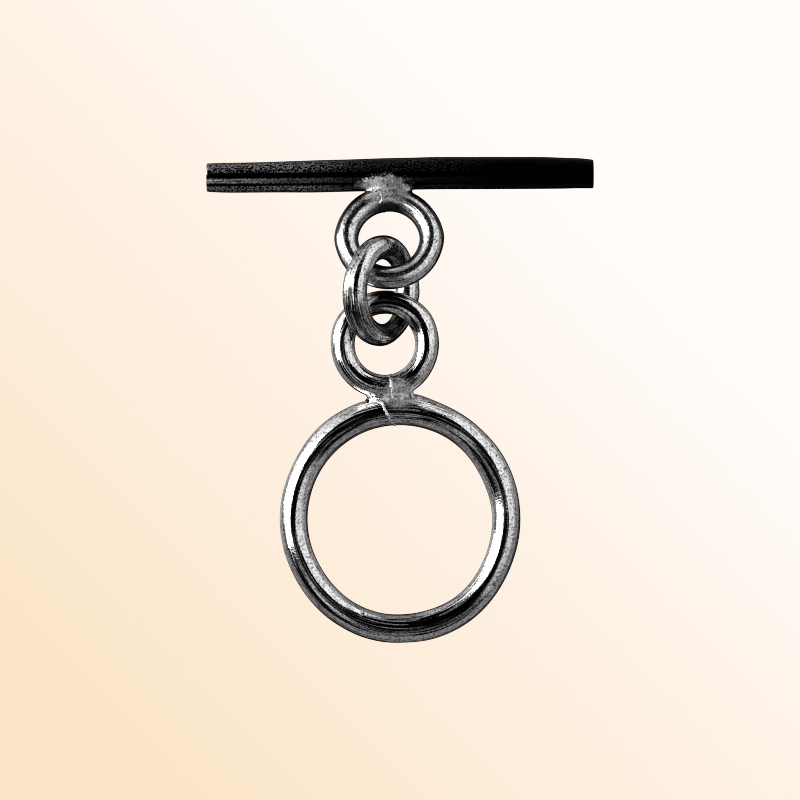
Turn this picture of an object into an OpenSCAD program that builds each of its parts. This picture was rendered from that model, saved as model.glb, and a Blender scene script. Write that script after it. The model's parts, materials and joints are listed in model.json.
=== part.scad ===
// Toggle clasp of plain round silver wire, lying loose on a flat surface.
// A bar with a small loop soldered to it hangs on a free jump ring, which also
// holds the small loop that is soldered to the large clasp ring.
// Millimetres, +Z up, the surface is z = 0, +Y runs from the ring to the bar.

/* [Toggle bar] */
// Length of the bar from end to end
bar_length = 19.4; // [17:0.1:24]
// Diameter of the bar along its middle
bar_diameter = 1.6; // [1.5:0.05:1.9]
// Diameter of the bar just inside its two cut ends
bar_end_diameter = 1.44; // [1.2:0.02:1.5]
// Length of the long, slight taper at the left end
left_taper = 6.8; // [4:0.1:7.5]
// Length of the short taper at the right end
right_taper = 2.4; // [1:0.1:5]
// Radius of the soft edge round each cut end
end_rounding = 0.2; // [0.1:0.02:0.4]

/* [Soldered loops] */
// Diameter of the wire of both small loops
loop_wire = 1.2; // [1:0.02:1.26]
// Inner diameter of both small loops
loop_inner = 3; // [2.9:0.02:3.6]
// How far the bar's loop sits to the right of the bar's middle
loop_offset = -0.57; // [-2:0.01:2]
// How deep the loop is let into the bar
bar_seat = 0.12; // [0.04:0.01:0.4]
// How deep the loop is let into the clasp ring
ring_seat = 0.05; // [0.03:0.01:0.3]

/* [Jump ring] */
// Diameter of the jump ring's wire
jump_wire = 1.2; // [1:0.02:1.26]
// Inner diameter of the jump ring
jump_inner = 3.24; // [3.2:0.02:3.8]

/* [Clasp ring] */
// Diameter of the clasp ring's wire
ring_wire = 1.4; // [1.2:0.02:1.8]
// Inner length of the clasp ring, in line with its loop
ring_inner_length = 9.54; // [8.6:0.02:12]
// Inner width of the clasp ring, across its loop
ring_inner_width = 9.2; // [8.6:0.02:12]

/* [Solder] */
// Radius of the solder that fills the valley between the loop and the bar
bar_solder_radius = 0.52; // [0.4:0.02:0.6]
// How far that solder reaches to the left of the loop's middle
bar_solder_left = 1.65; // [1.2:0.05:1.9]
// How far that solder reaches to the right of the loop's middle
bar_solder_right = 1.5; // [1.2:0.05:1.9]
// How far the solder mound stands proud of the bar
mound_height = 0.1; // [0.05:0.01:0.16]
// Radius of the solder mound's back
mound_radius = 0.64; // [0.56:0.02:0.7]
// Length of the solder mound along the bar
mound_length = 1.8; // [1.5:0.05:2.4]
// How far the mound's middle sits to the left of the loop's middle
mound_shift = 0.28; // [0:0.02:0.5]
// How far round the bar from the loop's side the mound sits, in degrees
mound_turn = 30; // [10:1:60]
// Radius of the solder that fills the valley between the loop and the ring
ring_solder_radius = 0.44; // [0.34:0.02:0.5]
// How far that solder reaches to each side of the loop's middle
ring_solder_reach = 1.1; // [0.8:0.05:1.4]

/* [How it lies] */
// Tilt of the jump ring about its long axis, from flat, in degrees
jump_tilt = 54; // [46:1:60]
// Lean of the jump ring's long axis from +Y towards +X, in degrees
jump_lean = 3.5; // [0:0.5:6]
// Turn of the bar about the vertical, in degrees
bar_turn = 0.46; // [-2:0.02:2]
// Turn of the clasp ring about the vertical, in degrees
ring_turn = 4.9; // [-6:0.1:8]
// How far the bar's loop hangs to the right of the jump ring's middle
bar_loop_shift = 0.39; // [0.2:0.01:0.45]
// How far the ring's loop hangs to the right of the jump ring's middle
ring_loop_shift = -0.01; // [-0.15:0.01:0.25]
// Gap between the bar's loop and the low side of the jump ring under it
bar_loop_gap = 0.22; // [0.03:0.01:0.25]
// Gap between the ring's loop and the low side of the jump ring under it
ring_loop_gap = 0.05; // [0.03:0.01:0.25]
// Gap between the two loops, side by side in the jump ring
side_gap = 0.05; // [0.03:0.01:0.1]

/* [Hidden] */
$fn = 64;

// Radii of the wires and of the wires' mid-lines
bar_r = bar_diameter / 2;
loop_r = loop_wire / 2;
jump_r = jump_wire / 2;
ring_r = ring_wire / 2;
loop_mid = (loop_inner + loop_wire) / 2;
jump_mid = (jump_inner + jump_wire) / 2;

// The clasp ring's mid-line is an oval of four arcs that meet on the diagonals
oval_long = (ring_inner_length + ring_wire) / 2;
oval_wide = (ring_inner_width + ring_wire) / 2;
oval_shift = (oval_long - oval_wide) / (2 - sqrt(2));
end_arc = oval_long - oval_shift;
side_arc = oval_wide + oval_shift;

// Distance of each small loop's centre from the bar's axis and from the ring's centre
bar_to_loop = bar_r + loop_r + loop_mid - bar_seat;
ring_to_loop = oval_long + ring_r + loop_r + loop_mid - ring_seat;

// The jump ring stands on its low side, with its centre above the origin of the plan
jump_height = jump_mid * sin(jump_tilt) + jump_r;
jump_centre = [0, 0, jump_height];
jump_along = [sin(jump_lean), cos(jump_lean), 0];
jump_down = [cos(jump_tilt) * cos(jump_lean), -cos(jump_tilt) * sin(jump_lean), -sin(jump_tilt)];

// Both loops pass over the jump ring's low side, one on each side of its middle
loop_spacing = loop_wire + side_gap;
bar_over_jump = loop_r + jump_r + bar_loop_gap;
ring_over_jump = loop_r + jump_r + ring_loop_gap;
bar_target = [bar_loop_shift, loop_spacing / 2, 0];
ring_target = [ring_loop_shift, -loop_spacing / 2, 0];

// Points of a loop's outer half, in degrees from its end, that are compared with the jump ring
loop_step = 1.5;
loop_samples = [for (a = [-90 : loop_step : 90]) a];

// Range of lifts that is searched, in degrees, and how often it is halved
lowest_lift = 0;
highest_lift = 24;
lift_steps = 18;

// Distance given to a point that is over the jump ring's high side, which doesn't count
not_below = 1000;

function turned(p, a) = [p.x * cos(a) - p.y * sin(a), p.x * sin(a) + p.y * cos(a), p.z];

// Distance of a point from the low half of the jump ring's mid-line
function from_jump_low(p) =
    let (q = p - jump_centre, u = q * jump_along, v = q * jump_down)
    let (across = norm(q - u * jump_along - v * jump_down))
    v > 0 ? norm([norm([u, v]) - jump_mid, across]) : not_below;

// Centre of the bar for a lift of its loop, and a point of that loop's mid-line
function bar_centre(lift) =
    bar_target - turned([loop_offset, -(bar_to_loop + loop_mid) * cos(lift), 0], bar_turn)
    + [0, 0, bar_r];
function bar_loop_point(lift, a) =
    let (reach = bar_to_loop + loop_mid * cos(a))
    bar_centre(lift)
    + turned([loop_offset + loop_mid * sin(a), -reach * cos(lift), reach * sin(lift)], bar_turn);

// The same for the clasp ring, which rests on the far side of its rim
function ring_centre(lift) =
    ring_target - turned([0, (ring_to_loop + loop_mid) * cos(lift), 0], ring_turn)
    + [0, 0, oval_long * sin(lift) + ring_r];
function ring_loop_point(lift, a) =
    let (reach = ring_to_loop + loop_mid * cos(a))
    ring_centre(lift)
    + turned([loop_mid * sin(a), reach * cos(lift), reach * sin(lift)], ring_turn);

// Halves the range of lifts until each loop just clears the jump ring's low side
function bar_clearance(lift) = min([for (a = loop_samples) from_jump_low(bar_loop_point(lift, a))]);
function ring_clearance(lift) = min([for (a = loop_samples) from_jump_low(ring_loop_point(lift, a))]);
function find_bar_lift(low, high, steps) =
    let (middle = (low + high) / 2)
    steps == 0 ? high
    : bar_clearance(middle) < bar_over_jump ? find_bar_lift(middle, high, steps - 1)
    : find_bar_lift(low, middle, steps - 1);
function find_ring_lift(low, high, steps) =
    let (middle = (low + high) / 2)
    steps == 0 ? high
    : ring_clearance(middle) < ring_over_jump ? find_ring_lift(middle, high, steps - 1)
    : find_ring_lift(low, middle, steps - 1);
bar_lift = find_bar_lift(lowest_lift, highest_lift, lift_steps);
ring_lift = find_ring_lift(lowest_lift, highest_lift, lift_steps);

// The origin is the middle of the whole, so the plan is moved by the middle of its outline
bar_place = bar_centre(bar_lift);
ring_place = ring_centre(ring_lift);
thick_end = bar_length / 2 - (bar_turn < 0 ? left_taper : right_taper);
top_edge = bar_place.y + thick_end * abs(sin(bar_turn)) + bar_r * cos(bar_turn);
rim_drop = norm([sin(ring_turn), cos(ring_turn) * cos(ring_lift)]);
bottom_edge = ring_place.y - oval_shift * cos(ring_turn) * cos(ring_lift) - end_arc * rim_drop - ring_r;
to_origin = [-bar_place.x, -(top_edge + bottom_edge) / 2, 0];

// Half of the bar's outline, from its axis outwards, with rounded corners at the cut ends
module bar_outline() {
    end_r = bar_end_diameter / 2;
    half = bar_length / 2;
    polygon([
        [0, -half],
        [end_r - end_rounding, -half],
        [end_r, -half + end_rounding],
        [bar_r, -half + left_taper],
        [bar_r, half - right_taper],
        [end_r, half - end_rounding],
        [end_r - end_rounding, half],
        [0, half]
    ]);
    for (side = [-1, 1])
        translate([end_r - end_rounding, side * (half - end_rounding)])
            circle(end_rounding);
}

module wire_ring(mid, wire) {
    rotate_extrude()
        translate([mid, 0])
            circle(wire / 2);
}

// A straight run of solder with round ends, along X from left to right
module solder_run(left, right, radius) {
    translate([left + radius, 0, 0])
        rotate([0, 90, 0])
            cylinder(h = right - left - 2 * radius, r = radius);
    for (x = [left + radius, right - radius])
        translate([x, 0, 0])
            sphere(radius);
}

// Quarter of the oval, about the middle of the arc, which is on local +Y
module oval_arc(shift, arc) {
    translate([0, shift, 0])
        rotate([0, 0, 45])
            rotate_extrude(angle = 90)
                translate([arc, 0])
                    circle(ring_r);
}

module toggle_bar() {
    mound_depth = bar_r + mound_height - mound_radius;
    color("silver")
        translate(bar_place + to_origin)
            rotate([0, 0, bar_turn])
                rotate([-bar_lift, 0, 0]) {
                    rotate([0, 90, 0])
                        rotate_extrude()
                            bar_outline();
                    translate([loop_offset, -bar_to_loop, 0])
                        wire_ring(loop_mid, loop_wire);
                    translate([loop_offset, bar_seat / 2 - bar_r, 0])
                        solder_run(-bar_solder_left, bar_solder_right, bar_solder_radius);
                    translate([loop_offset - mound_shift, 0, 0])
                        rotate([-mound_turn, 0, 0])
                            translate([0, -mound_depth, 0])
                                solder_run(-mound_length / 2, mound_length / 2, mound_radius);
                }
}

module jump_ring() {
    color("silver")
        translate(jump_centre + to_origin)
            rotate([0, 0, -jump_lean])
                rotate([0, jump_tilt, 0])
                    wire_ring(jump_mid, jump_wire);
}

module clasp_ring() {
    color("silver")
        translate(ring_place + to_origin)
            rotate([0, 0, ring_turn])
                rotate([ring_lift, 0, 0]) {
                    for (quarter = [0, 180])
                        rotate([0, 0, quarter])
                            oval_arc(oval_shift, end_arc);
                    for (quarter = [90, 270])
                        rotate([0, 0, quarter])
                            oval_arc(-oval_shift, side_arc);
                    translate([0, ring_to_loop, 0])
                        wire_ring(loop_mid, loop_wire);
                    translate([0, oval_long + ring_r - ring_seat / 2, 0])
                        solder_run(-ring_solder_reach, ring_solder_reach, ring_solder_radius);
                }
}

toggle_bar();
jump_ring();
clasp_ring();
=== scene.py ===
"""Toggle clasp of plain round silver wire: the finish of its three pieces, and the studio round it.

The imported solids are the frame. Where each wire runs is read from them and from the record's
mounts, and each piece is made again as one smooth skin, with its solder, cut joints, dents and
pits. Shapes are worked out in millimetres and turned into metres when a mesh is made.
"""

import json
import math

import bpy
import numpy as np
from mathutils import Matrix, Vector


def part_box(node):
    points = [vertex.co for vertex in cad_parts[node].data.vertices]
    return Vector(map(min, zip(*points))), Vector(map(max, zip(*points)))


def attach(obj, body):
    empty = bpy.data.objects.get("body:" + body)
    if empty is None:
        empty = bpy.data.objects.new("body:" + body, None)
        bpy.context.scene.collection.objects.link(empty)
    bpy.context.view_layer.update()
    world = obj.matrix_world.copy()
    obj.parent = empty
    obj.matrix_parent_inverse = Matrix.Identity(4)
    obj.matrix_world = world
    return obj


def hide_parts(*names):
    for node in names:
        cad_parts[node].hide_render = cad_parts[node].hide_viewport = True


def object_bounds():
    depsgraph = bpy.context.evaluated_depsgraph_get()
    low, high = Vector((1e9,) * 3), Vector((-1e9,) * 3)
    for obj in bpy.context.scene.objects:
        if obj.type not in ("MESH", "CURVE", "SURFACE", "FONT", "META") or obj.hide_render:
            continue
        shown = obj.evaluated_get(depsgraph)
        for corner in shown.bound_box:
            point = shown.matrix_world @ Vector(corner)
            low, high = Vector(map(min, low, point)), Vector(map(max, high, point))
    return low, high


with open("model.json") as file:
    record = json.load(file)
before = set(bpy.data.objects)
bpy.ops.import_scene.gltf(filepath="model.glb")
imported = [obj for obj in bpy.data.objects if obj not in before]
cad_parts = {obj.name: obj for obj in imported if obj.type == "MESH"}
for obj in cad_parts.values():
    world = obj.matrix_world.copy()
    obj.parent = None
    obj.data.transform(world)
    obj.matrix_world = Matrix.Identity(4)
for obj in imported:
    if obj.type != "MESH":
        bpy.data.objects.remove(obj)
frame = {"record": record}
cad_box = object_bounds()

# Millimetres in a metre
MM = 1000.0

# Wires in millimetres: the bar's thickness, how far from its right end it is thickest, the rounding and
# the dome of its cut ends, and the thickness of each bent wire with the radius of its line
BAR_WIRE = 1.6
BAR_RIGHT_TAPER = 2.4
BAR_EDGE = 0.07
BAR_DOME = 0.02
LOOP_WIRE = 1.2
LOOP_MIDDLE = 2.1
JUMP_WIRE = 1.2
JUMP_MIDDLE = 2.22
RING_WIRE = 1.4
RING_LONG = 5.47
RING_WIDE = 5.3

# How the pieces lie, in degrees
BAR_TURN = 0.46
RING_TURN = 4.9
JUMP_TILT = 54
JUMP_LEAN = 3.5

# Drawn bar: places along it as shares of its half length, its radius there and its middle line's
# sideways offset, in millimetres
BAR_PLACES = [-1.0, -0.95, -0.74, -0.52, -0.3, 0.15, 0.45, 0.72, 0.77, 0.85, 0.93, 1.0]
BAR_RADII = [0.72, 0.74, 0.765, 0.80, 0.82, 0.812, 0.825, 0.807, 0.80, 0.782, 0.76, 0.722]
BAR_OFFSETS = [-0.09, -0.10, -0.10, -0.09, -0.055, 0.033, 0.025, 0.013, 0.004, -0.014, -0.022, -0.068]

# Evenness lost in drawing and polishing: how many waves are summed, the shortest and the longest of the
# long ones and their height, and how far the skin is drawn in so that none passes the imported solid
WAVE_COUNT = 14
LONG_WAVES = (1.5, 5)
WAVE = 0.004
DRAWN_IN = 0.008

# Short waves: lumps in the solder, and the wobble of the cut lines
SHORT_WAVES = (0.35, 0.9)
BAR_LUMP = 0.035
RING_LUMP = 0.02
CUT_WOBBLE = 0.045

# Seeds of the long waves, of the lumps and of the wobbles
BAR_SEED, RING_SEED, JUMP_SEED = 3, 4, 5
BAR_LUMP_SEED, RING_LUMP_SEED = 11, 12
BAR_LOOP_CUT_SEED, RING_CUT_SEED, RING_LOOP_CUT_SEED = 31, 32, 33

# How far the lines of the small loops and the jump ring are drawn inwards, at places from the end away
# from the bar at -1 to the end towards it at 1, as shares of the line's radius
LOOP_PLACES = [-1.0, -0.65, -0.3, 0.0, 0.3, 0.65, 1.0]
BAR_LOOP_SHIFTS = [0.0, 0.0, -0.01, -0.035, 0.01, 0.055, 0.06]
RING_LOOP_SHIFTS = [0.01, 0.02, 0.01, 0.0, -0.02, -0.06, -0.03]
JUMP_SHIFTS = [0.0, 0.0, 0.0, 0.0, 0.02, 0.10, 0.03]

# The clasp ring's wire by angle round it in degrees: how far its line lies outwards, and how much
# thicker it is, in millimetres
RING_PLACES = [0, 20, 45, 75, 110, 125, 145, 175, 205, 235, 255, 268, 280, 300, 330, 360]
RING_SHIFTS = [0.015, 0.012, 0.028, 0.045, 0.045, 0.045, 0.015, 0.018,
               -0.022, 0.005, 0.01, -0.02, -0.005, 0.03, -0.012, 0.015]
RING_SWELLS = [0.022, 0.055, 0.018, 0.008, 0.03, 0.04, 0.005, 0.005,
               0.01, 0.008, 0.02, 0.022, 0.045, 0.02, 0.01, 0.022]

# The jump ring's wire by angle round it from its low side in degrees: how much thicker it is
JUMP_PLACES = [0, 50, 90, 130, 180, 230, 270, 308, 360]
JUMP_SWELLS = [0.0, -0.06, -0.01, -0.04, 0.0, 0.0, -0.02, -0.13, 0.0]

# Ridges worn on the high side of the jump ring and on the clasp ring's arc by its joint: place round the
# wire in degrees from its outer side, middle of the arc in degrees, and half depth of the flat beside it
JUMP_RIDGE = (38, 180, 0.035)
RING_RIDGE = (85, 100, 0.033)

# Power of the wires' sections: the bar loop's is slightly pointed, the jump ring's slightly square, and
# 2 is round
ROUND = 2.0
BAR_LOOP_POWER = 1.66
JUMP_POWER = 2.1

# Solder between the bar and its loop: ends of its run from the loop's middle, and radius
BAR_SOLDER_LEFT = -0.55
BAR_SOLDER_RIGHT = 0.72
BAR_SOLDER_RADIUS = 0.46
BAR_SOLDER_DEPTH = 0.74

# Mound of solder on the bar: middle and half length along it, turn from the loop's side in degrees,
# depth of its line and radius
MOUND_MIDDLE = -0.55
MOUND_HALF = 0.42
MOUND_TURN = 30
MOUND_DEPTH = 0.26
MOUND_RADIUS = 0.62

# Bare patch of solder on the bar: middle and half length along it, reach round it, how fast it ends,
# and how wide the end of the tarnish is where the loop begins
PATCH_MIDDLE = -0.22
PATCH_HALF = 1.5
PATCH_ARC = 1.22
PATCH_SLOPE = 1.3
BARE_EDGE = 0.3

# Solder between the clasp ring and its loop: a low run and a bead in its middle
RING_SOLDER_LEFT = -0.9
RING_SOLDER_RIGHT = 0.95
RING_SOLDER_RADIUS = 0.2
RING_SOLDER_PLACE = 6.3
RING_BEAD_HALF = 0.4
RING_BEAD_RADIUS = 0.44
RING_JOINT = 6.145

# How far the fillets reach away from the solder, how much further in it, and how wide the soldered
# places are
FILLET = 0.1
BAR_FILLET = 0.35
RING_FILLET = 0.4
BAR_SOLDER_SPREAD = 1.25
RING_SOLDER_SPREAD = 1.375

# Where the matte places of the joints lie from them, and how wide they are
BAR_MATTE_SHIFT = [-0.2, 0.25, 0.25]
BAR_MATTE = 1.6
RING_MATTE_SHIFT = [0.45, 0.2, 0]
RING_MATTE = 1.05

# How wide the heat's stain is round the bar's joint, and the painted shade in the hollow of its loop
BAR_HEAT = 1.5
BAR_HOLLOW_SHADE = 1.9

# How far the painted shade on each piece reaches from where another one lies close
BAR_CONTACT_SHADE = 0.55
RING_CONTACT_SHADE = 0.5
JUMP_CONTACT_SHADE = 0.45

# Where the bar's loop and the clasp ring are thicker by their joints: height, shift from the joint and
# width of each swell
BAR_LOOP_SWELLS = [(0.07, [-1.0, -0.5, 0], 1.9), (0.045, [2.0, -2.1, 0], 1.2)]
JOINT_SWELLS = [(0.035, [0, 0, 0], 2.6), (0.14, [1.25, 0.1, 0], 0.9)]

# Cut joints, seen as fine raised lines across the wires: place round the piece in degrees, slant,
# and the line's height and half width in millimetres
BAR_LOOP_CUT = 102
RING_LOOP_CUT = -86
JUMP_CUT = 55
RING_CUT = 92
RING_CUT_SLANT = -0.45
CUT_HEIGHT = 0.03
CUT_WIDTH = 0.05

# Distance that stands for no cut near
FAR = 9.0

# Pits of the clasp ring: places in plan and sizes, in millimetres
RING_PITS = [(4.62, -2.29, 0.06), (4.83, -2.77, 0.05), (5.27, -3.42, 0.07), (5.67, -6.73, 0.05),
             (5.80, -6.95, 0.05), (4.70, -9.25, 0.06), (-1.87, -10.67, 0.08)]

# Bright places at the low end of the jump ring, untarnished and less glossy: places in plan and sizes, in
# millimetres
JUMP_MARKS = [(-1.90, 3.30, 0.12), (-1.05, 3.20, 0.14)]

# Solder on the bar: its painted highlight and its painted shade, places in plan and their sizes, in
# millimetres
SOLDER_PAINTED_HIGHLIGHT = [(-1.60, 10.80, 0.42)]
SOLDER_PAINTED_SHADE = [(-0.20, 10.95, 0.50), (-0.02, 10.25, 0.45)]

# Places of painted shade on the left limb of the bar's loop and at the low left of the jump ring, and specked
# ones on the clasp ring's loop: places in plan and sizes
LOOP_PAINTED_SHADE = [(-2.64, 7.85, 0.17), (-2.70, 8.35, 0.2), (-2.62, 8.85, 0.24), (-2.38, 9.35, 0.28),
             (-1.95, 9.85, 0.3)]
JUMP_PAINTED_SHADE = [(-2.45, 5.45, 0.2), (-2.42, 5.05, 0.3), (-2.34, 4.55, 0.36), (-2.1, 4.0, 0.36),
             (-0.55, 5.58, 0.4)]
RING_SPECKED = [(-0.60, 1.10, 0.28), (-1.10, 0.75, 0.28), (0.0, 1.05, 0.3)]

# Scratched places of the clasp ring, at its top and at its bottom: places in plan and sizes
RING_SCRATCHED = [(-0.5, -0.6, 2.6), (0.3, -11.6, 2.0)]

# Painted glints: a highlight on the bar's left end, and the start of its bright painted reflection lines:
# places and sizes
BAR_PAINTED_GLINTS = [(-9.62, 11.43, 0.2), (-9.46, 11.0, 0.1)]

# Camera: lens and film in millimetres, width of its view in metres, and height where it is that wide
LENS = 200
FILM = 36
VIEW_WIDTH = 0.040
VIEW_HEIGHT = 0.0011
NEAREST_SEEN = 0.001
FARTHEST_SEEN = 10

# Half the floor, and how far the paper's colours lie below and above the middle, in metres
FLOOR_REACH = 3.0
PAPER_FALL = 0.030
PAPER_RISE = 0.018

# Pale paper with a painted gradient of light, from the lower left through the middle to the upper right
PAPER_LOW = (0.965, 0.791, 0.584, 1)
PAPER_MIDDLE = (0.991, 0.888, 0.791, 1)
PAPER_HIGH = (1.0, 0.973, 0.947, 1)

# Size of a mesh cell, and the step that slopes are measured over, in millimetres
CELL = 0.054
SLOPE_STEP = 0.004

# Points of the rough skins: round a wire, along a bent wire and along a straight one
HOOP_POINTS = 24
LOOP_POINTS = 97
RUN_POINTS = 60

# Fine grain and cloudy mottle of the metal, and the finer speckle of the tarnish: cells to a metre
GRAIN = 9000.0
CLOUD = 2200.0
SPECKLE = 12000.0

# Half width of the bright line over a cut, in millimetres
CUT_SHINE = 0.03


def unit(vector):
    """The vector at length one."""
    return np.asarray(vector, float) / np.linalg.norm(vector)


def heading(degrees):
    """Level direction that lies the given angle round from +X."""
    angle = math.radians(degrees)
    return np.array([math.cos(angle), math.sin(angle), 0.0])


class Lie:
    """Where a wire piece lies: its middle, and the directions across it, along it and out of its plane."""

    def __init__(self, middle, across, along):
        self.middle = np.asarray(middle, float)
        self.across = unit(across)
        self.along = unit(along - np.dot(along, self.across) * self.across)
        self.out = np.cross(self.across, self.along)

    def inside(self, points):
        """Points in the piece's own directions."""
        away = points - self.middle
        return np.stack([away @ self.across, away @ self.along, away @ self.out], axis=1)

    def outside(self, points):
        """Points of the piece's own directions in the frame's."""
        points = np.asarray(points, float)
        return self.middle + points @ np.stack([self.across, self.along, self.out])


def mount_lie(name, turn):
    """Lie of the round eye that a mount states, turned level by an angle."""
    mount = next(m for m in frame["record"]["mounts"] if m["name"] == name)
    axis = unit(mount["axis"])
    return Lie(np.array(mount["pos_m"]) * MM, heading(turn) - axis * np.dot(heading(turn), axis),
               np.cross(axis, heading(turn)))


def node_box(name):
    """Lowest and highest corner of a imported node, in millimetres."""
    low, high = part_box(name)
    return np.array(low) * MM, np.array(high) * MM


cad_low, cad_high = np.array(cad_box[0]) * MM, np.array(cad_box[1]) * MM
bar_low, bar_high = node_box("toggle_bar")
jump_low, jump_high = node_box("jump_ring")

# The bar lies level, and its high edge is at its thick end
bar_half = (bar_high[0] - bar_low[0]) / 2 / math.cos(math.radians(BAR_TURN))
bar_rise = (bar_half - BAR_RIGHT_TAPER) * math.sin(math.radians(BAR_TURN))
bar_lie = Lie([0, bar_high[1] - bar_rise - BAR_WIRE / 2, BAR_WIRE / 2],
              heading(BAR_TURN), heading(BAR_TURN + 90))
bar_loop_lie = mount_lie("bar_loop_eye", BAR_TURN)
ring_loop_lie = mount_lie("ring_loop_eye", RING_TURN)
ring_lie = mount_lie("ring_opening", RING_TURN)

# The jump ring's short direction falls to the right by its tilt
jump_fall = (heading(-JUMP_LEAN) * math.cos(math.radians(JUMP_TILT))
             - np.array([0, 0, 1.0]) * math.sin(math.radians(JUMP_TILT)))
jump_lie = Lie((jump_low + jump_high) / 2, jump_fall, heading(90 - JUMP_LEAN))


def smooth_least(first, second, reach):
    """Lesser of two distances, rounded over where they differ by less than reach.
    least - h^3 reach / 6, with h = 1 where they are equal and 0 at reach."""
    share = np.maximum(reach - np.abs(first - second), 0) / reach
    return np.minimum(first, second) - share ** 3 * reach / 6


def waves(points, lengths, height, seed):
    """Seeded unevenness: height / sqrt(count / 2) times the sum of cosines along chance directions, each
    with a wavelength between the two lengths."""
    chance = np.random.default_rng(seed)
    directions = chance.normal(size=(WAVE_COUNT, 3))
    directions /= np.linalg.norm(directions, axis=1)[:, None]
    wavelengths = chance.uniform(lengths[0], lengths[1], WAVE_COUNT)
    phases = chance.uniform(0, 2 * np.pi, WAVE_COUNT)
    turns = points @ (directions * (2 * np.pi / wavelengths)[:, None]).T + phases
    return height * np.cos(turns).sum(axis=1) / math.sqrt(WAVE_COUNT / 2)


def curve(at, places, values):
    """Smooth curve through values at the given places: between two places it is the cubic whose slope
    at each place is that of the values round it."""
    places = np.array(places)
    values = np.array(values)
    slopes = np.gradient(values, places)
    at = np.clip(at, places[0], places[-1])
    left = np.clip(np.searchsorted(places, at) - 1, 0, len(places) - 2)
    width = places[left + 1] - places[left]
    share = (at - places[left]) / width
    rest = 1 - share
    chord = values[left] * (1 + 2 * share) * rest ** 2 + values[left + 1] * (3 - 2 * share) * share ** 2
    return chord + width * share * rest * (slopes[left] * rest - slopes[left + 1] * share)


def straight_wire(points):
    """Distance from the bar: how far a point is outside the round wire or past its slightly domed cut
    ends, with the corner between them rounded."""
    own = bar_lie.inside(points)
    place = own[:, 0] / bar_half
    radius = curve(place, BAR_PLACES, BAR_RADII)
    off = np.hypot(own[:, 1] - curve(place, BAR_PLACES, BAR_OFFSETS), own[:, 2] + BAR_WIRE / 2 - radius)
    beside = off - radius + BAR_EDGE
    past = np.abs(own[:, 0]) - bar_half + BAR_EDGE + BAR_DOME * (2 * off / BAR_WIRE) ** 2
    inner = np.minimum(np.maximum(beside, past), 0)
    return inner + np.hypot(np.maximum(beside, 0), np.maximum(past, 0)) - BAR_EDGE


def round_wire(lie, middle, wire, power, shifts):
    """Distance from a wire bent to a circle: the gap to the circle's line, less the wire's radius.
    With the gap's parts in and out of the plane as a and b, it is (|a|^power + |b|^power)^(1/power).
    Shifts at LOOP_PLACES, which run along the lie from -1 to 1, move the line inwards."""
    def distance(points):
        own = lie.inside(points)
        shift = curve(own[:, 1] / middle, LOOP_PLACES, shifts)
        aside = np.abs(np.hypot(own[:, 0], own[:, 1]) - middle + shift)
        return (aside ** power + np.abs(own[:, 2]) ** power) ** (1 / power) - wire / 2
    return distance


def ridge(around, angle, place, arc, depth):
    """How deep the flat beside a worn ridge is: depth (1 - cos 4 t) with t the angle round the wire from
    the ridge, on the quarter outside it, falling away from the arc's middle as (1/2 + cos(s) / 2)^2 with
    s the angle round the ring. Around and angle are in radians, and place and arc in degrees."""
    away = around - math.radians(place)
    share = (0.5 + 0.5 * np.cos(angle - math.radians(arc))) ** 2
    return np.where((away > -np.pi / 2) & (away < 0), share * depth * (1 - np.cos(4 * away)), 0)


def oval_wire(points):
    """Distance from the clasp ring's wire. Its line has two end arcs and two side arcs that meet on
    the diagonals, and each arc's centre is moved a little along its own axis. By angle round the
    ring, the line then lies a little outwards and the wire is a little thicker, less its worn ridge."""
    own = ring_lie.inside(points)
    angle = np.degrees(np.arctan2(own[:, 1], own[:, 0])) % 360
    rise = own[:, 2]
    own = np.abs(own)
    shift = (RING_LONG - RING_WIDE) / (2 - math.sqrt(2))
    end = own[:, 1] > own[:, 0] + shift
    away_end = np.hypot(own[:, 0], own[:, 1] - shift) - (RING_LONG - shift)
    away_side = np.hypot(own[:, 0] + shift, own[:, 1]) - (RING_WIDE + shift)
    aside = np.where(end, away_end, away_side) - curve(angle, RING_PLACES, RING_SHIFTS)
    flat = ridge(np.arctan2(rise, aside), np.radians(angle), *RING_RIDGE)
    return np.hypot(aside, rise) - RING_WIRE / 2 - curve(angle, RING_PLACES, RING_SWELLS) + flat


def run_of_solder(lie, start, end, radius):
    """Distance from a round-ended run between two points of a lie."""
    start, end = lie.outside(start), lie.outside(end)

    def distance(points):
        way = end - start
        share = np.clip((points - start) @ way / np.dot(way, way), 0, 1)
        return np.linalg.norm(points - start - share[:, None] * way, axis=1) - radius
    return distance


def tube(path, outward, sideways, radius):
    """Rough skin of a wire: path + radius (cos t outward + sin t sideways), with t once round at
    each point of the path. A closed path ends where it starts."""
    around = np.linspace(0, 2 * np.pi, HOOP_POINTS, endpoint=False)
    hoop = np.cos(around)[None, :, None] * outward[:, None, :] + np.sin(around)[None, :, None] * sideways
    points = path[:, None, :] + np.broadcast_to(radius, len(path))[:, None, None] * hoop
    row = np.arange(len(path) - 1)[:, None] * HOOP_POINTS
    here = np.arange(HOOP_POINTS)
    there = np.roll(here, -1)
    next_row = row + HOOP_POINTS
    faces = np.stack([row + here, row + there, next_row + there, next_row + here], axis=-1)
    return points.reshape(-1, 3), faces.reshape(-1, 4)


def rough_loop(lie, long, wide, wire):
    """Rough skin of a wire bent round a lie."""
    turn = np.linspace(0, 2 * np.pi, LOOP_POINTS)[:, None]
    outward = np.cos(turn) * lie.across + np.sin(turn) * lie.along
    path = lie.middle + wide * np.cos(turn) * lie.across + long * np.sin(turn) * lie.along
    return tube(path, outward, lie.out, wire / 2)


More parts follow.
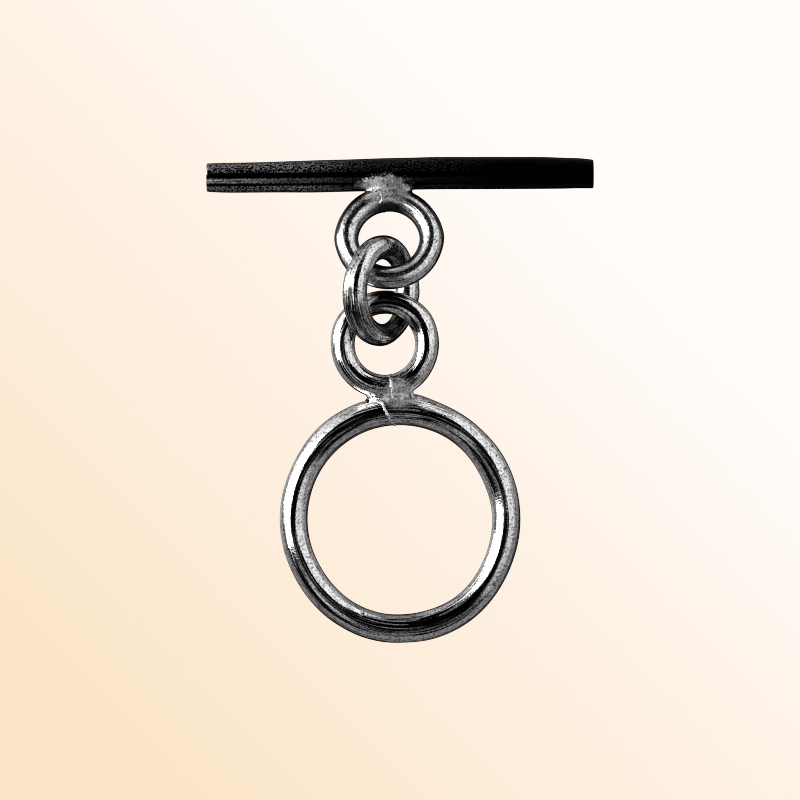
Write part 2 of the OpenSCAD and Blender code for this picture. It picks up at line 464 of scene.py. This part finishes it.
def rough_run(lie, start, end, radius):
    """Rough skin of a straight wire between two points of a lie, closed at both ends."""
    start, end = lie.outside(start), lie.outside(end)
    way = unit(end - start)
    side = unit(np.cross([0, 0, 1.0], way))
    share = np.concatenate([[0], np.linspace(0, 1, RUN_POINTS), [1]])
    path = start + share[:, None] * (end - start)
    outward = np.broadcast_to(side, path.shape)
    radii = radius * np.concatenate([[0], np.ones(RUN_POINTS), [0]])
    return tube(path, outward, np.cross(way, side), radii)


def fused(rough):
    """Closed skin of quads round all the rough skins together, by a voxel remesh."""
    counts = np.cumsum([0] + [len(points) for points, faces in rough])
    mesh = bpy.data.meshes.new("rough")
    points = np.concatenate([points for points, faces in rough])
    faces = np.concatenate([faces + first for (_, faces), first in zip(rough, counts)])
    mesh.from_pydata(points.tolist(), [], faces.tolist())
    piece = bpy.data.objects.new("rough", mesh)
    bpy.context.scene.collection.objects.link(piece)
    remesh = piece.modifiers.new("fuse", "REMESH")
    remesh.mode = "VOXEL"
    remesh.voxel_size = CELL
    skin = piece.evaluated_get(bpy.context.evaluated_depsgraph_get()).to_mesh()
    points = np.empty(len(skin.vertices) * 3)
    skin.vertices.foreach_get("co", points)
    corners = np.empty(len(skin.loops), np.int64)
    skin.loops.foreach_get("vertex_index", corners)
    bpy.data.objects.remove(piece)
    bpy.data.meshes.remove(mesh)
    return points.reshape(-1, 3), corners.reshape(-1, 4)


def slope(field, points):
    """How fast a distance grows along each axis, by differences over a small step."""
    steps = np.eye(3) * SLOPE_STEP
    return np.stack([field(points + s) - field(points - s) for s in steps], axis=1) / (2 * SLOPE_STEP)


def settled(field, points):
    """Points moved down the field's slope until the distance is zero: point - distance slope / |slope|^2,
    twice with one slope and twice with the next."""
    for _ in range(2):
        rise = slope(field, points)
        rise = rise / np.maximum((rise * rise).sum(axis=1), 0.2)[:, None]
        for _ in range(2):
            points = points - field(points)[:, None] * rise
    return points


def make_piece(name, points, faces, field, marks):
    """Object with smooth faces, normals along the field's slope, and named vertex attributes. Nothing
    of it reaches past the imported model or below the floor."""
    points = np.clip(points, np.maximum(cad_low, [-np.inf, -np.inf, 0]), cad_high)
    mesh = bpy.data.meshes.new(name)
    mesh.from_pydata((points / MM).tolist(), [], faces.tolist())
    mesh.shade_smooth()
    normals = slope(field, points)
    normals /= np.linalg.norm(normals, axis=1)[:, None]
    mesh.normals_split_custom_set_from_vertices(normals.tolist())
    for mark, values in marks.items():
        values = np.asarray(values, np.float32)
        kind, slot = ("FLOAT", "value") if values.ndim == 1 else ("FLOAT_VECTOR", "vector")
        mesh.attributes.new(mark, kind, "POINT").data.foreach_set(slot, values.ravel())
    piece = bpy.data.objects.new(name, mesh)
    bpy.context.scene.collection.objects.link(piece)
    return piece


bar_loop_wire = round_wire(bar_loop_lie, LOOP_MIDDLE, LOOP_WIRE, BAR_LOOP_POWER, BAR_LOOP_SHIFTS)
ring_loop_wire = round_wire(ring_loop_lie, LOOP_MIDDLE, LOOP_WIRE, ROUND, RING_LOOP_SHIFTS)
jump_wire = round_wire(jump_lie, JUMP_MIDDLE, JUMP_WIRE, JUMP_POWER, JUMP_SHIFTS)

# Directions from the bar's axis to its loop and to its mound of solder, in the bar's own directions
loop_reach = bar_lie.inside(bar_loop_lie.middle[None])[0]
loop_side = math.atan2(loop_reach[2], -loop_reach[1])
mound_side = loop_side + math.radians(MOUND_TURN)


def off_bar(along, side, depth):
    """Point of the bar's own directions, at a place along it and a depth from its axis towards a side."""
    return np.array([along, -depth * math.cos(side), depth * math.sin(side)])


bar_joint = bar_lie.outside(off_bar(loop_reach[0], loop_side, BAR_SOLDER_DEPTH))
bar_run_ends = [off_bar(loop_reach[0] + end, loop_side, BAR_SOLDER_DEPTH)
                for end in (BAR_SOLDER_LEFT, BAR_SOLDER_RIGHT)]
bar_run = run_of_solder(bar_lie, *bar_run_ends, BAR_SOLDER_RADIUS)
bar_mound_ends = [off_bar(loop_reach[0] + MOUND_MIDDLE + end, mound_side, MOUND_DEPTH)
                  for end in (-MOUND_HALF, MOUND_HALF)]
bar_mound = run_of_solder(bar_lie, *bar_mound_ends, MOUND_RADIUS)
ring_joint = ring_lie.outside([0, RING_JOINT, 0])
ring_run_ends = [[end, RING_SOLDER_PLACE, 0] for end in (RING_SOLDER_LEFT, RING_SOLDER_RIGHT)]
ring_run = run_of_solder(ring_lie, *ring_run_ends, RING_SOLDER_RADIUS)
ring_bead_ends = [[end, RING_JOINT, 0] for end in (-RING_BEAD_HALF, RING_BEAD_HALF)]
ring_bead = run_of_solder(ring_lie, *ring_bead_ends, RING_BEAD_RADIUS)


def closeness(points, place, spread):
    """1 at a place, falling away from it as exp(-(distance / spread)^2)."""
    return np.exp(-((points - place) ** 2).sum(axis=1) / spread ** 2)


def from_cut(lie, points, degrees, slant, seed):
    """Distance along the wire from its cut joint: how far a point is beside the line that leaves the
    piece's middle at an angle in degrees, with a slant away from the wire's middle and a chance wobble."""
    own = lie.inside(points)
    outward = heading(degrees)
    away = own @ outward
    beside = own @ np.array([-outward[1], outward[0], 0.0])
    middle = RING_LONG if slant else LOOP_MIDDLE
    beside = beside + slant * (away - middle) + waves(points, SHORT_WAVES, CUT_WOBBLE, seed)
    return np.where(away > 0, beside, FAR)


def bar_cut(points, on_loop):
    """Distance from the cut of the bar's loop."""
    return np.where(on_loop, from_cut(bar_loop_lie, points, BAR_LOOP_CUT, 0, BAR_LOOP_CUT_SEED), FAR)


def ring_cut(points, on_ring):
    """Distance from the cut of the clasp ring, or from that of its loop."""
    return np.where(on_ring, from_cut(ring_lie, points, RING_CUT, RING_CUT_SLANT, RING_CUT_SEED),
                    from_cut(ring_loop_lie, points, RING_LOOP_CUT, 0, RING_LOOP_CUT_SEED))


def swelling(points, joint, swells):
    """How much thicker a wire is by its joint: the sum of height closeness over its swells."""
    return sum(height * closeness(points, joint + shift, spread) for height, shift, spread in swells)


def long_waves(points, seed):
    """Evenness lost all over a piece, with the skin drawn in by as much as keeps it inside the solid."""
    return waves(points, LONG_WAVES, WAVE, seed) + DRAWN_IN


def cut_line(beside):
    """Raised line over a cut joint: CUT_HEIGHT exp(-(beside / CUT_WIDTH)^2)."""
    return CUT_HEIGHT * np.exp(-(beside / CUT_WIDTH) ** 2)


def soldered(first, second, runs, near, fillet, lump, points, seed):
    """Two wires and their solder as one distance: each is joined with a fillet that is wide in the
    soldered place and slight away from it, and the solder has low lumps."""
    reach = FILLET + fillet * near
    body = smooth_least(first, second, reach)
    for run in runs:
        body = smooth_least(body, run(points), reach)
    return body - near ** 3 * waves(points, SHORT_WAVES, lump, seed)


def bar_field(points):
    """Distance from the bar, its loop and their solder."""
    near = closeness(points, bar_joint, BAR_SOLDER_SPREAD)
    bar, loop = straight_wire(points), bar_loop_wire(points)
    swell = swelling(points, bar_joint, BAR_LOOP_SWELLS)
    body = soldered(bar, loop - swell, [bar_run, bar_mound], near, BAR_FILLET, BAR_LUMP, points,
                    BAR_LUMP_SEED)
    return body - cut_line(bar_cut(points, loop < bar)) + long_waves(points, BAR_SEED)


def ring_field(points):
    """Distance from the clasp ring, its loop and their solder."""
    near = closeness(points, ring_joint, RING_SOLDER_SPREAD)
    ring, loop = oval_wire(points), ring_loop_wire(points)
    swell = swelling(points, ring_joint, JOINT_SWELLS)
    body = soldered(ring - swell, loop, [ring_run, ring_bead], near, RING_FILLET, RING_LUMP, points,
                    RING_LUMP_SEED)
    return body - cut_line(ring_cut(points, ring < loop)) + long_waves(points, RING_SEED)


def jump_field(points):
    """Distance from the jump ring: its wire with its swell by angle and its worn ridge."""
    own = jump_lie.inside(points)
    angle = np.arctan2(own[:, 1], own[:, 0])
    swell = curve(np.degrees(angle) % 360, JUMP_PLACES, JUMP_SWELLS)
    around = np.arctan2(own[:, 2], np.hypot(own[:, 0], own[:, 1]) - JUMP_MIDDLE)
    flat = ridge(around, angle, *JUMP_RIDGE)
    return jump_wire(points) - swell + flat + long_waves(points, JUMP_SEED)


def lay_along(lie, middle, points, start, slant=0.0):
    """Place on a bent wire in millimetres: round its line from its cut, outwards from it and out of
    its plane. The cut has an angle in degrees and a slant."""
    own = lie.inside(points)
    aside = np.hypot(own[:, 0], own[:, 1]) - middle
    turn = np.arctan2(own[:, 1], own[:, 0]) - math.radians(start) + slant * aside / middle
    return np.stack([turn % (2 * np.pi) * middle, aside, own[:, 2]], axis=1)


def crevice(points, others, spread):
    """Painted shade: 1 where another piece touches, falling away over the gap as exp(-(gap / spread)^2)."""
    gap = np.min([np.maximum(field(points), 0) for field in others], axis=0)
    return np.exp(-(gap / spread) ** 2)


def bareness(points, bar, loop):
    """1 on the loop and on the soldered patch of the bar, 0 on the tarnished bar, 0.5 at the edge. The
    patch is an ellipse round the joint, with the place along the bar and the arc round it as axes."""
    own = bar_lie.inside(points)
    arc = np.arctan2(own[:, 2], -own[:, 1]) * BAR_WIRE / 2
    patch = np.hypot((own[:, 0] - loop_reach[0] - PATCH_MIDDLE) / PATCH_HALF, arc / PATCH_ARC)
    return np.clip(0.5 + np.maximum(PATCH_SLOPE * (1 - patch), (bar - loop) / BARE_EDGE), 0, 1)


def make_bar():
    """The bar with its soldered loop."""
    rough = [rough_run(bar_lie, [-bar_half, 0, 0], [bar_half, 0, 0], BAR_WIRE / 2),
             rough_loop(bar_loop_lie, LOOP_MIDDLE, LOOP_MIDDLE, LOOP_WIRE),
             rough_run(bar_lie, *bar_run_ends, BAR_SOLDER_RADIUS),
             rough_run(bar_lie, *bar_mound_ends, MOUND_RADIUS)]
    points, faces = fused(rough)
    points = settled(bar_field, points)
    bar, loop = straight_wire(points), bar_loop_wire(points)
    loop_lay = lay_along(bar_loop_lie, LOOP_MIDDLE, points, BAR_LOOP_CUT)
    lay = np.where((bar < loop)[:, None], bar_lie.inside(points), loop_lay)
    inner = np.clip(-2 * loop_lay[:, 1] / LOOP_WIRE, 0, 1)
    marks = {"lay": lay,
             "solder": closeness(points, bar_joint + BAR_MATTE_SHIFT, BAR_MATTE),
             "bare": bareness(points, bar, loop),
             "cut": bar_cut(points, loop < bar),
             "heat": closeness(points, bar_joint, BAR_HEAT),
             # painted shade in the loop's inner hollow by the joint
             "painted_hollow_shade": closeness(points, bar_joint, BAR_HOLLOW_SHADE) * inner,
             # painted shade where the other pieces lie close
             "crevice": crevice(points, [jump_field, ring_field], BAR_CONTACT_SHADE)}
    piece = make_piece("bar_skin", points, faces, bar_field, marks)
    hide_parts("toggle_bar")
    return piece


def make_ring():
    """The clasp ring with its soldered loop."""
    rough = [rough_loop(ring_lie, RING_LONG, RING_WIDE, RING_WIRE),
             rough_loop(ring_loop_lie, LOOP_MIDDLE, LOOP_MIDDLE, LOOP_WIRE),
             rough_run(ring_lie, *ring_run_ends, RING_SOLDER_RADIUS),
             rough_run(ring_lie, *ring_bead_ends, RING_BEAD_RADIUS)]
    points, faces = fused(rough)
    points = settled(ring_field, points)
    on_ring = oval_wire(points) < ring_loop_wire(points)
    lay = np.where(on_ring[:, None], lay_along(ring_lie, RING_LONG, points, RING_CUT, RING_CUT_SLANT),
                   lay_along(ring_loop_lie, LOOP_MIDDLE, points, RING_LOOP_CUT))
    marks = {"lay": lay,
             "solder": closeness(points, ring_joint + RING_MATTE_SHIFT, RING_MATTE),
             "cut": ring_cut(points, on_ring),
             # painted shade where the other pieces lie close
             "crevice": crevice(points, [jump_field, bar_field], RING_CONTACT_SHADE)}
    piece = make_piece("ring_skin", points, faces, ring_field, marks)
    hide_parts("clasp_ring")
    return piece


def make_jump():
    """The free jump ring."""
    rough = [rough_loop(jump_lie, JUMP_MIDDLE, JUMP_MIDDLE, JUMP_WIRE)]
    points, faces = fused(rough)
    points = settled(jump_field, points)
    marks = {"lay": lay_along(jump_lie, JUMP_MIDDLE, points, JUMP_CUT),
             "end": np.clip(-jump_lie.inside(points)[:, 1] / JUMP_MIDDLE, 0, 1),
             # painted shade where the other pieces lie close
             "crevice": crevice(points, [bar_field, ring_field], JUMP_CONTACT_SHADE)}
    piece = make_piece("jump_skin", points, faces, jump_field, marks)
    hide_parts("jump_ring")
    return piece


def make_camera():
    """Camera straight above the clasp, looking down, far off with a long lens."""
    camera = bpy.data.cameras.new("camera")
    camera.lens = LENS
    camera.sensor_width = FILM
    camera.clip_start = NEAREST_SEEN
    camera.clip_end = FARTHEST_SEEN
    mount = bpy.data.objects.new("camera", camera)
    mount.location = (0, 0, VIEW_HEIGHT + VIEW_WIDTH * LENS / FILM)
    bpy.context.scene.collection.objects.link(mount)
    bpy.context.scene.camera = mount


class Signal:
    """A number or colour that a node gives out. Its operators add Math nodes to the same tree."""

    def __init__(self, recipe, socket):
        self.recipe = recipe
        self.socket = socket

    def math(self, operation, first, second=0.0):
        """One Math node."""
        return self.recipe.node("ShaderNodeMath", {"operation": operation}, {0: first, 1: second})

    def __add__(self, other):
        return self.math("ADD", self, other)

    def __radd__(self, other):
        return self.math("ADD", other, self)

    def __sub__(self, other):
        return self.math("SUBTRACT", self, other)

    def __rsub__(self, other):
        return self.math("SUBTRACT", other, self)

    def __mul__(self, other):
        return self.math("MULTIPLY", self, other)

    def __rmul__(self, other):
        return self.math("MULTIPLY", other, self)

    def __truediv__(self, other):
        return self.math("DIVIDE", self, other)

    def __abs__(self):
        return self.math("ABSOLUTE", self)

    def __pow__(self, other):
        return self.math("POWER", self, other)

    def __rpow__(self, other):
        return self.math("POWER", other, self)

    def soft(self, low, high):
        """Smooth step from 0 at low to 1 at high."""
        return self.recipe.node("ShaderNodeMapRange", {"interpolation_type": "SMOOTHSTEP"},
                                {"Value": self, "From Min": low, "From Max": high})

    def most(self, other):
        """The greater of two."""
        return self.math("MAXIMUM", self, other)

    def least(self, other):
        """The lesser of two."""
        return self.math("MINIMUM", self, other)

    def bell(self, middle, spread):
        """exp(-((value - middle) / spread)^2)"""
        return math.e ** (((self - middle) / spread) ** 2 * -1.0)


class Recipe:
    """The nodes of one material or world."""

    def __init__(self, tree):
        self.tree = tree

    def node(self, kind, settings=(), values=(), output=0):
        """Adds a node. Its settings come first, then its sockets, by name or number, from numbers or
        signals."""
        made = self.tree.nodes.new(kind)
        for key, value in dict(settings).items():
            setattr(made, key, value)
        for key, value in dict(values).items():
            if isinstance(value, Signal):
                self.tree.links.new(value.socket, made.inputs[key])
            else:
                made.inputs[key].default_value = value
        return Signal(self, made.outputs[output]) if made.outputs else None

    def mix(self, share, first, second):
        """Colour between two, by a share."""
        return self.node("ShaderNodeMix", {"data_type": "RGBA"}, {0: share, 6: first, 7: second}, 2)


def light_studio():
    """Soft studio, drawn by the tilt of the metal that mirrors it upwards: tilt_x to the right and
    tilt_y towards the bar. A bright panel is on the left and a dimmer one on the right, with the dark
    opening for the lens between them and a dark gap below them, and grey cloth is all round."""
    world = bpy.data.worlds.new("studio")
    bpy.context.scene.world = world
    world.use_nodes = True
    world.node_tree.nodes.clear()
    r = Recipe(world.node_tree)
    way = r.node("ShaderNodeTexCoord", output="Generated")
    lifted = r.node("ShaderNodeVectorMath", {"operation": "ADD"}, {0: way, 1: (0, 0, 1)})
    facing = r.node("ShaderNodeVectorMath", {"operation": "NORMALIZE"}, {0: lifted})
    tilt_x = r.node("ShaderNodeSeparateXYZ", {}, {0: facing}, "X")
    tilt_y = r.node("ShaderNodeSeparateXYZ", {}, {0: facing}, "Y")
    rim = (tilt_x * tilt_x + tilt_y * tilt_y) ** 0.5

    # Grey cloth, lighter high and far to the left and a little far to the right, dark far to the lower
    # right, black at the very edge, and with a thin dark fold beside the left panel
    left_rim = tilt_x.soft(-0.45, -0.8)
    cloth = 0.22 + 0.18 * tilt_y.soft(0.3, 0.6) * tilt_x.soft(-0.1, -0.25)
    cloth = cloth + 0.28 * rim.soft(0.8, 0.92) * left_rim * tilt_y.soft(-0.5, -0.1) * tilt_y.soft(0.5, 0.35)
    cloth = cloth + 0.06 * rim.soft(0.74, 0.8) * tilt_x.soft(0.5, 0.7)
    shade = rim.soft(0.8, 0.88) * (tilt_x - 0.6 * tilt_y).soft(0.65, 0.95).most(tilt_y.soft(-0.55, -0.75))
    cloth = cloth * (1 - 0.85 * shade) * (1 - 0.97 * rim.soft(0.91, 0.96) * (1 - 0.85 * left_rim))
    cloth = cloth * (1 - 0.6 * (tilt_x + 0.64 * tilt_y).bell(-0.80, 0.035) * tilt_y.soft(0.05, -0.05))

    # Opening for the lens, wider on the left, with a foot that rises to both sides
    wide = 0.29 + 0.11 * tilt_x.soft(0.01, -0.01)
    hole = (abs(tilt_x) / wide) ** 2.6 + (abs(tilt_y - 0.20) / 0.365) ** 2.6
    foot = (40 * tilt_x.most(0) ** 4.0 - 0.13).most(-2.4 * tilt_x - 0.71)
    hole = hole.soft(1.2, 0.8) * (tilt_y - foot).soft(-0.02, 0.02)

    # Left panel, brightest low down, and the dimmer oval one on the right, brightest near the opening
    edge_left = 0.2 * tilt_x - 0.115
    left = (tilt_y - edge_left).soft(-0.02, 0.02) * tilt_x.soft(-0.15, -0.22) * rim.soft(0.83, 0.75)
    left = left * (tilt_x + 0.64 * tilt_y).soft(-0.76, -0.71).most(tilt_y.soft(-0.02, 0.08))
    above_left = (tilt_y - 0.12).most(0)
    left_light = left * (1.9 * above_left.bell(0, 0.33) + 1.3 * above_left.bell(0, 0.2))
    edge_right = -0.75 * tilt_x - 0.10
    right = (tilt_y - edge_right).soft(-0.05, 0.05) * tilt_x.soft(0.05, 0.15)
    oval = (((tilt_x - 0.28) / 0.40) ** 2.0 + ((tilt_y - 0.19) / 0.46) ** 2.0) ** 0.5
    right_light = right * oval.soft(1.15, 0.86) * (0.35 + 0.65 * tilt_y.soft(-0.3, 0.05))
    right_light = right_light * (0.66 + 0.1 * tilt_x.soft(0.5, 0.3))

    # Dark gap below the panels
    low = 2.5 * (tilt_x + 0.1) ** 4.0 - 0.48
    above = edge_left + (edge_right - edge_left) * tilt_x.soft(-0.001, 0.001)
    gap = ((tilt_y - low).soft(-0.04, 0.04) * (1 - (tilt_y - above).soft(-0.03, 0.03))
           * tilt_x.soft(0.48, 0.3) * tilt_x.soft(-0.76, -0.66))
    light = cloth * (1 - gap) + left_light + right_light
    light = light * (1 - hole) + 0.0005

    # Thin lamp seen in the gap, which widens to the lower left
    along = -0.74 * tilt_x - 0.67 * (tilt_y + 0.12)
    across = 0.67 * tilt_x - 0.74 * (tilt_y + 0.12)
    streak = (across / (0.01 + 0.25 * along.most(0))).bell(0, 1)
    light = light + 0.55 * streak * along.soft(0.05, 0.1) * along.soft(0.29, 0.2)

    # Faint line of light across the gap
    light = light + 0.1 * tilt_y.bell(-0.25, 0.03) * abs(tilt_x).soft(0.28, 0.12)

    # The camera sees pale paper where it looks past the floor, and all else sees the studio
    mirrored = r.node("ShaderNodeBackground", {}, {"Color": (1, 1, 1, 1), "Strength": light})
    paper = r.node("ShaderNodeBackground", {}, {"Color": PAPER_MIDDLE, "Strength": 1.0})
    seen = r.node("ShaderNodeLightPath", output="Is Camera Ray")
    both = r.node("ShaderNodeMixShader", {}, {0: seen, 1: mirrored, 2: paper})
    r.node("ShaderNodeOutputWorld", {}, {0: both})


def lay_floor():
    """Plain pale paper that glows, with a painted gradient of light: warm at the lower left and nearly white
    at the upper right.
    """
    mesh = bpy.data.meshes.new("floor")
    reach = FLOOR_REACH
    mesh.from_pydata([(-reach, -reach, 0), (reach, -reach, 0), (reach, reach, 0), (-reach, reach, 0)],
                     [], [(0, 1, 2, 3)])
    floor = bpy.data.objects.new("floor", mesh)
    bpy.context.scene.collection.objects.link(floor)
    floor.visible_glossy = False
    floor.visible_diffuse = False
    floor.visible_shadow = False
    paper = bpy.data.materials.new("pale_paper")
    paper.use_nodes = True
    paper.node_tree.nodes.clear()
    r = Recipe(paper.node_tree)
    place = r.node("ShaderNodeTexCoord", output="Object")
    x = r.node("ShaderNodeSeparateXYZ", {}, {0: place}, "X")
    y = r.node("ShaderNodeSeparateXYZ", {}, {0: place}, "Y")
    colour = r.mix((x + y) / PAPER_FALL + 1.0, PAPER_LOW, PAPER_MIDDLE)
    colour = r.mix((x + y) / PAPER_RISE, colour, PAPER_HIGH)
    shine = r.node("ShaderNodeEmission", {}, {"Color": colour, "Strength": 1.0})
    r.node("ShaderNodeOutputMaterial", {}, {0: shine})
    paper.cycles.emission_sampling = "NONE"
    mesh.materials.append(paper)


class Metal:
    """Signals that every silver of the clasp starts from, in one new material: its grain, its cloudy
    mottle, and how much painted shade a place takes from the pieces lying close to it."""

    def __init__(self, name):
        self.made = bpy.data.materials.new(name)
        self.made.use_nodes = True
        self.made.node_tree.nodes.clear()
        self.r = Recipe(self.made.node_tree)
        self.place = self.r.node("ShaderNodeTexCoord", output="Object")
        self.grain = self.noise(self.place, GRAIN)
        self.cloud = self.noise(self.place, CLOUD, 2.0)
        self.crevice = self.mark("crevice").soft(0.2, 1.0)

    def noise(self, vector, scale, detail=1.0):
        """Noise from -1 to 1, mostly within a half of 0."""
        values = {"Vector": vector, "Scale": scale, "Detail": detail}
        return 2 * self.r.node("ShaderNodeTexNoise", {}, values) - 1

    def mark(self, name, output="Fac"):
        """Attribute of the piece's vertices."""
        return self.r.node("ShaderNodeAttribute", {"attribute_name": name}, output=output)

    def lines(self, along, across):
        """Noise stretched along the wire, with so many cells to a millimetre each way."""
        lay = self.r.node("ShaderNodeVectorMath", {"operation": "MULTIPLY"},
                          {0: self.mark("lay", "Vector"), 1: (along, across, across)})
        return self.noise(lay, 1.0)

    def flank(self, first, full):
        """Painted shade on the sides of the wires: 1 where the normal's rise is less than full, and 0 above
        first and on their undersides."""
        normal = self.r.node("ShaderNodeNewGeometry", output="Normal")
        rise = self.r.node("ShaderNodeSeparateXYZ", {}, {0: normal}, "Z")
        return rise.soft(first, full) * rise.soft(-0.4, -0.1)

    def spot(self, x, y, size):
        """1 at a place of the plan in millimetres, falling away over a size."""
        flat = self.r.node("ShaderNodeVectorMath", {"operation": "MULTIPLY"}, {0: self.place, 1: (MM, MM, 0)})
        gap = self.r.node("ShaderNodeVectorMath", {"operation": "DISTANCE"}, {0: flat, 1: (x, y, 0)}, "Value")
        return gap.bell(0, size)

    def spots(self, places):
        """Sum of the spots at places, at most 1."""
        return sum([self.spot(*place) for place in places], 0.0).least(1.0)

    def finish(self, tone, roughness, height):
        """Metal with a grey tone and a relief in millimetres."""
        colour = self.r.node("ShaderNodeCombineColor", {}, {0: tone, 1: tone, 2: tone * 1.01})
        bump = self.r.node("ShaderNodeBump", {}, {"Strength": 1.0, "Distance": 1 / MM, "Height": height})
        shader = self.r.node("ShaderNodeBsdfPrincipled", {}, {"Base Color": colour, "Metallic": 1.0,
                                                              "Roughness": roughness, "Normal": bump})
        self.r.node("ShaderNodeOutputMaterial", {}, {0: shader})
        return self.made


def ring_silver():
    """Polished ring: lengthwise draw lines, a fine grain, pits, and a matte, mottled solder joint."""
    m = Metal("ring_silver")
    lines = m.lines(0.16, 6.5)
    scratch = m.lines(0.22, 11.0).soft(0.12, 0.3)
    solder = m.mark("solder").soft(0.22, 0.6)
    pits = m.spots(RING_PITS)
    specked = m.spots(RING_SPECKED) * m.grain.soft(-0.05, 0.15)
    near = m.spots(RING_SCRATCHED)
    line = m.mark("cut").bell(0, CUT_SHINE)

    # Tone, with painted shade on the flanks and where other pieces lie close, and darker in pits
    tone = (0.80 * (1 + 1.6 * m.grain + 0.6 * m.cloud)).most(0.32).least(0.97)
    tone = tone * (1 - 0.75 * m.flank(0.3, 0.12))
    tone = tone * (1 - 0.9 * m.crevice * (1 - 0.8 * scratch)) * (1 - 0.8 * pits)

    # Gloss, duller on solder and scratches, and relief
    roughness = (0.08 + 0.05 * m.cloud.most(0.0) + 0.4 * solder
                 + ((0.14 + 0.16 * near) * scratch + 0.3 * specked) * (1 - solder))
    drawn = (0.009 + 0.03 * m.crevice + 0.022 * near) * lines + 0.008 * near * scratch
    height = 0.0018 * m.grain + drawn * (1 - solder) + 0.025 * line - 0.02 * pits
    return m.finish(tone, roughness, height)


def link_silver():
    """Jump ring, softly polished and mottled, with tarnish at its low end, and painted shade on its flanks.
    """
    m = Metal("link_silver")
    lines = m.lines(0.3, 6.5)
    speck = m.grain.soft(0.05, 0.35)
    scratch = m.lines(0.35, 11.0).soft(0.0, 0.22)
    tarnish = (m.mark("end") + 0.25 * m.cloud).soft(0.05, 0.55)
    bright = m.spots(JUMP_MARKS)

    # Tone, darker at the tarnished end, and with painted shade near other pieces, in dark places and on the
    # flanks
    tone = 0.78 * (1 + 1.6 * m.grain + 0.7 * m.cloud) * (1 - 0.9 * m.crevice)
    tone = tone * (1 - 0.3 * tarnish * (1 - bright))
    tone = tone * (1 - 0.8 * tarnish * (1 - bright) * (1 - scratch))
    # Painted shade in the dark places
    tone = tone * (1 - 0.94 * m.spots(JUMP_PAINTED_SHADE) * (1 - 0.6 * scratch))
    tone = tone.most(0.02).least(0.96) * (1 - 0.92 * m.flank(0.46, 0.3))

    # Gloss, duller on specks, bright places and tarnish, and relief
    roughness = 0.14 + 0.06 * m.cloud.most(0.0) + 0.12 * speck + 0.3 * bright + 0.12 * tarnish * scratch
    height = 0.0025 * m.grain + (0.010 + 0.045 * tarnish) * lines
    return m.finish(tone, roughness, height)


def bar_silver():
    """Bar dark with tarnish, more so to the right, with a fine grey speckle, a few drawn lines, and painted
    reflection in bands and thin bright lines round it, with painted glints. The loop and the solder are bare
    metal: the loop softly polished, the solder matte and mottled."""
    m = Metal("bar_silver")
    fine = m.noise(m.place, SPECKLE)
    lines = m.lines(0.2, 6.5)
    wander = 0.07 * m.lines(0.9, 0.0)
    speck = fine.soft(-0.15, 0.25)
    solder = m.mark("solder").soft(0.3, 0.75)
    painted_hollow_shade = (m.mark("painted_hollow_shade") + 0.2 * m.cloud).soft(0.3, 0.6)
    bare = (m.mark("bare") + 0.3 * m.cloud + 0.25 * m.grain).soft(0.3, 0.75)
    line = m.mark("cut").bell(0, CUT_SHINE)
    along = m.r.node("ShaderNodeSeparateXYZ", {}, {0: m.place}, "X") * MM
    side = m.r.node("ShaderNodeSeparateXYZ", {}, {0: m.mark("lay", "Vector")}, "Y")
    heat = m.mark("heat").soft(0.35, 0.75) * (1 - solder)

    # Tarnish: grey speckle where it is worn thin. Painted reflection by the place round the bar: smooth dark
    # bands, and a rough band with two bright lines. Painted glints, bright in the tarnish
    worn = 0.01 + 0.12 * along.soft(5.0, 0.5) + 0.87 * along.soft(-1.5, -5.5)
    smooth = abs(side + 0.05).soft(0.19, 0.11).most(abs(side + 0.50).soft(0.09, 0.04))
    drawn = abs(side + 0.315).soft(0.15, 0.10)
    painted_reflection_lines = (side - wander).bell(-0.26, 0.035) + (side + wander).bell(-0.37, 0.035)
    painted_reflection_lines = painted_reflection_lines.least(1.0) * (0.1 + 0.9 * along.soft(-5.5, -8.0)) * (0.4 + 0.6 * speck)
    painted_glint = m.spots(BAR_PAINTED_GLINTS).soft(0.3, 0.7)
    specked = 0.6 * speck * (1 - smooth) * (1 - drawn) + (0.02 + 0.16 * speck + 0.5 * painted_reflection_lines) * drawn
    dull = 0.0006 + worn * specked + 0.9 * painted_glint

    # Bare metal, darker by the heat, with painted shade near other pieces, in the loop's hollow, on the
    # flanks
    bright = (0.84 * (1 + 1.4 * m.grain + 0.7 * m.cloud)).most(0.12)
    bright = bright * (1 - 0.85 * m.crevice) * (1 - 0.93 * painted_hollow_shade)
    bright = bright * (1 - 0.95 * m.flank(0.68, 0.5)) * (1 - 0.65 * heat)
    # Painted shade in the dark places of the loop's left limb
    bright = bright * (1 - 0.8 * m.spots(LOOP_PAINTED_SHADE).soft(0.25, 0.7) * (1 - 0.7 * speck))
    # Painted highlight and painted shade on the solder
    bright = bright * (0.85 + 1.0 * m.spots(SOLDER_PAINTED_HIGHLIGHT) - 0.4 * m.spots(SOLDER_PAINTED_SHADE))
    tone = (dull + (bright - dull) * bare).most(0.0005).least(0.96)

    # Gloss of the tarnish and of the bare metal, and relief
    roughness = 0.13 + (0.3 * speck + 0.4 * drawn) * (1 - bare) * (1 - painted_glint)
    roughness = roughness + (0.05 + 0.1 * speck + 0.4 * solder + 0.2 * heat) * bare
    height = (0.0025 * m.grain + (0.010 + 0.03 * m.crevice) * lines * (1 - solder) + 0.012 * solder * m.cloud
              + 0.03 * line)
    return m.finish(tone, roughness, height)


for piece, metal in ((make_bar(), bar_silver()), (make_jump(), link_silver()), (make_ring(), ring_silver())):
    piece.data.materials.append(metal)
    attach(piece, "root")
make_camera()
light_studio()
lay_floor()
bpy.context.scene.view_settings.view_transform = "Standard"
bpy.context.scene.cycles.use_denoising = False
bpy.context.scene.cycles.filter_width = 1.0
